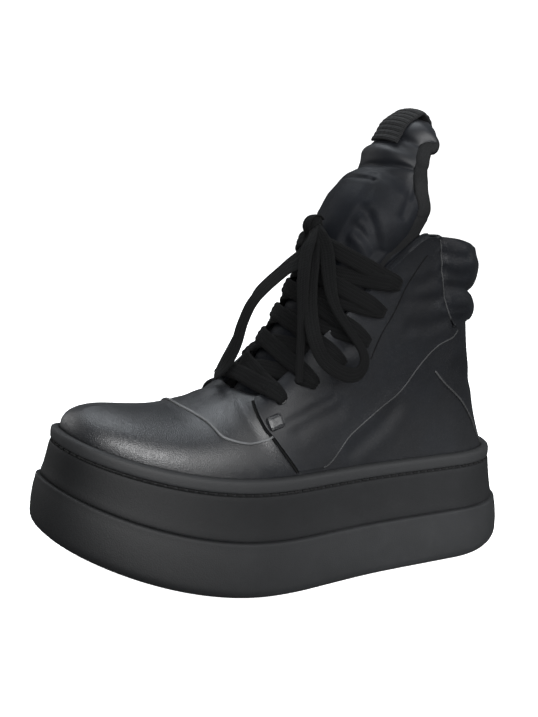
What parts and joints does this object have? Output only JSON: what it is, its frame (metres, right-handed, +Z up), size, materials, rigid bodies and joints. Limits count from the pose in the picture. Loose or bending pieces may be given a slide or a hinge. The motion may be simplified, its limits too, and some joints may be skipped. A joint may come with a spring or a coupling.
{
  "type": "high-top sneaker",
  "caption": "Left platform high-top sneaker with a hollow leather upper, tall padded tongue, tied laces and a side zip, standing empty on its sole.",
  "frame": {"origin": "on the floor under the middle of the sole's outline", "axes": "+X to the toe, +Y to the outer side of the left foot, +Z up"},
  "size_m": [0.3098, 0.1227, 0.2706],
  "materials": {
    "leather": "smooth black, soft sheen",
    "sole_rubber": "matte dark grey",
    "sock_lining": "matte black",
    "webbing": "ribbed black webbing",
    "lace_cotton": "woven black cotton",
    "zip_metal": "antique silver"
  },
  "bodies": {
    "shoe": {"outsole": "sole_rubber", "midsole": "sole_rubber", "insole": "sock_lining", "upper": "leather", "quarter_outer": "leather", "quarter_inner": "leather", "tongue": "leather", "pull_loop": "webbing", "lace_crossings": "lace_cotton", "lace_knot": "lace_cotton", "lace_loop_outer": "lace_cotton", "lace_loop_inner": "lace_cotton", "lace_end_outer": "lace_cotton", "lace_end_inner": "lace_cotton", "zip_chain": "zip_metal", "zip_slider": "zip_metal"},
    "zip_tab": {"zip_pull": "zip_metal"}
  },
  "joints": [
    {"name": "zip_pull_swing", "type": "hinge", "parent": "shoe", "child": "zip_tab", "pos_m": [-0.07021, -0.04802, 0.19881], "axis": [-0.9994, 0.035, 0], "range_deg": [0, 150]}
  ]
}
